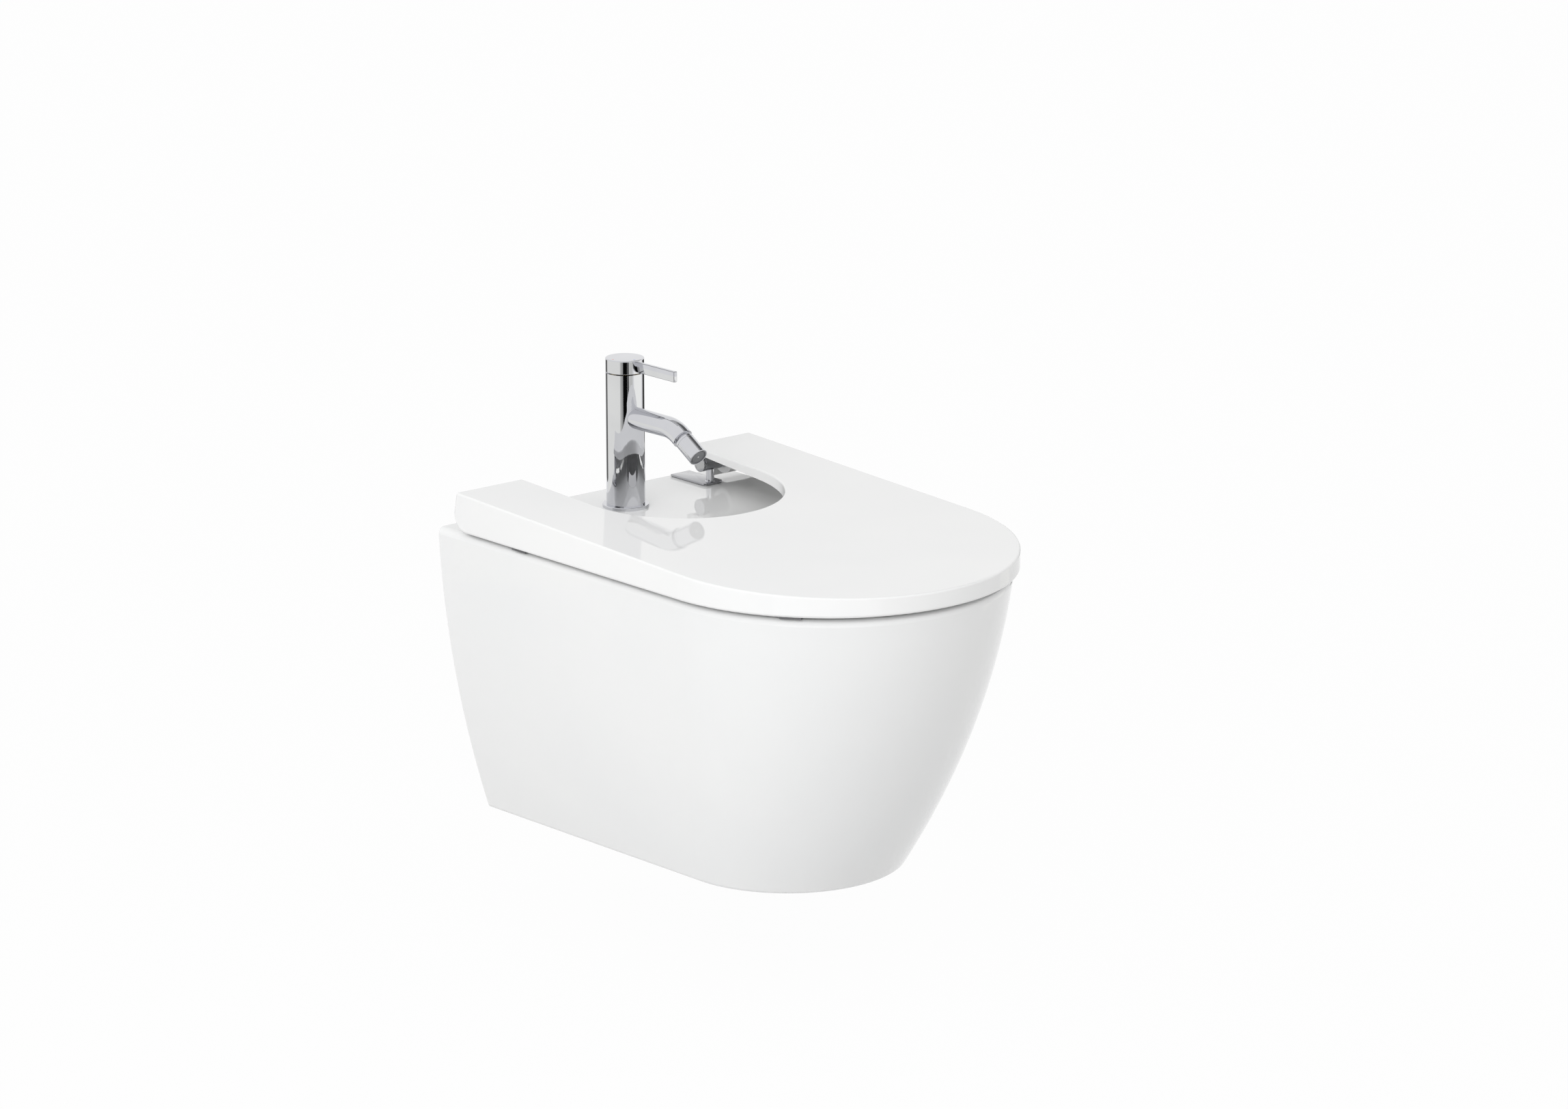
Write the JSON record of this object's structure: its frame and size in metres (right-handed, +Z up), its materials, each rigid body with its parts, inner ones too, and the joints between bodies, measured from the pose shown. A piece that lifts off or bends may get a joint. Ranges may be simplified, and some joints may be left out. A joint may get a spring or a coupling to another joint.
{
  "type": "wall-hung bidet",
  "caption": "Wall-hung ceramic bidet with a hinged U-cut lid, single-lever tap with a swivelling nozzle and a push-to-open waste.",
  "frame": {"origin": "midway between the two wall studs, on the wall plane", "axes": "+Z up, +Y into the wall, -Y towards the front, +X to the right for someone facing the wall"},
  "size_m": [0.3658, 0.535, 0.4434],
  "materials": {
    "ceramic": "white vitreous glaze",
    "lid_plastic": "white moulded, polished",
    "chrome": "bright chrome over brass",
    "steel": "turned stainless",
    "brass": "machined",
    "rubber": "dark moulded rubber",
    "grey_plastic": "moulded grey",
    "white_plastic": "moulded white",
    "disc_ceramic": "ground and lapped",
    "hot_mark": "red enamel",
    "cold_mark": "blue enamel"
  },
  "bodies": {
    "base": {"cartridge_fixed_disc": "disc_ceramic", "cartridge_housing": "white_plastic", "cartridge_nut": "brass", "cartridge_seals": "rubber", "ceramic_body": "ceramic", "click_cartridge": "grey_plastic", "hinge_barrel_left": "chrome", "hinge_barrel_right": "chrome", "hinge_damper_left": "grey_plastic", "hinge_damper_right": "grey_plastic", "hinge_end_cap_left": "chrome", "hinge_end_cap_right": "chrome", "hinge_fixing_nuts": "grey_plastic", "hinge_fixing_sleeves": "rubber", "hinge_fixing_studs": "steel", "hinge_gaskets": "rubber", "hinge_plate_left": "chrome", "hinge_plate_right": "chrome", "hinge_post_left": "chrome", "hinge_post_right": "chrome", "tap_base_ring": "chrome", "tap_base_seal": "rubber", "tap_body": "chrome", "tap_fixing_gasket": "rubber", "tap_fixing_nut": "brass", "tap_fixing_stud": "steel", "tap_fixing_washer": "steel", "wall_fixing_bushes": "white_plastic", "wall_fixing_nuts": "steel", "wall_fixing_washers": "steel", "waste_back_nut": "brass", "waste_body": "chrome", "waste_seal_lower": "rubber", "waste_seal_upper": "rubber"},
    "lid": {"lid_shell": "lid_plastic", "lid_buffers": "rubber", "hinge_pin_left": "steel", "hinge_pin_right": "steel"},
    "lever": {"lever_cap": "chrome", "lever_bar": "chrome", "lever_screw": "steel", "indicator_hot": "hot_mark", "indicator_cold": "cold_mark", "cartridge_stem": "brass", "cartridge_moving_disc": "disc_ceramic"},
    "ball": {"swivel_ball": "chrome"},
    "nozzle": {"nozzle_housing": "chrome", "aerator_insert": "grey_plastic", "aerator_seal": "rubber"},
    "plug": {"waste_plug": "chrome", "plug_seal": "rubber", "plug_rod": "steel"}
  },
  "joints": [
    {"name": "lid_swing", "type": "hinge", "parent": "base", "child": "lid", "pos_m": [0, -0.05, 0.112], "axis": [-1, 0, 0], "range_deg": [0, 94]},
    {"name": "lever_turn", "type": "hinge", "parent": "base", "child": "lever", "pos_m": [0, -0.063, 0.2232], "axis": [0, 0, 1], "range_deg": [-90, 0]},
    {"name": "nozzle_tilt", "type": "hinge", "parent": "base", "child": "ball", "pos_m": [0, -0.15207, 0.17137], "axis": [1, 0, 0], "range_deg": [-12, 12]},
    {"name": "nozzle_swing", "type": "hinge", "parent": "ball", "child": "nozzle", "pos_m": [0, -0.15207, 0.17137], "axis": [0, -0.515, 0.8572], "range_deg": [-12, 12]},
    {"name": "plug_rise", "type": "slide", "parent": "base", "child": "plug", "axis": [0, 0, 1], "range_m": [0, 0.008]}
  ]
}
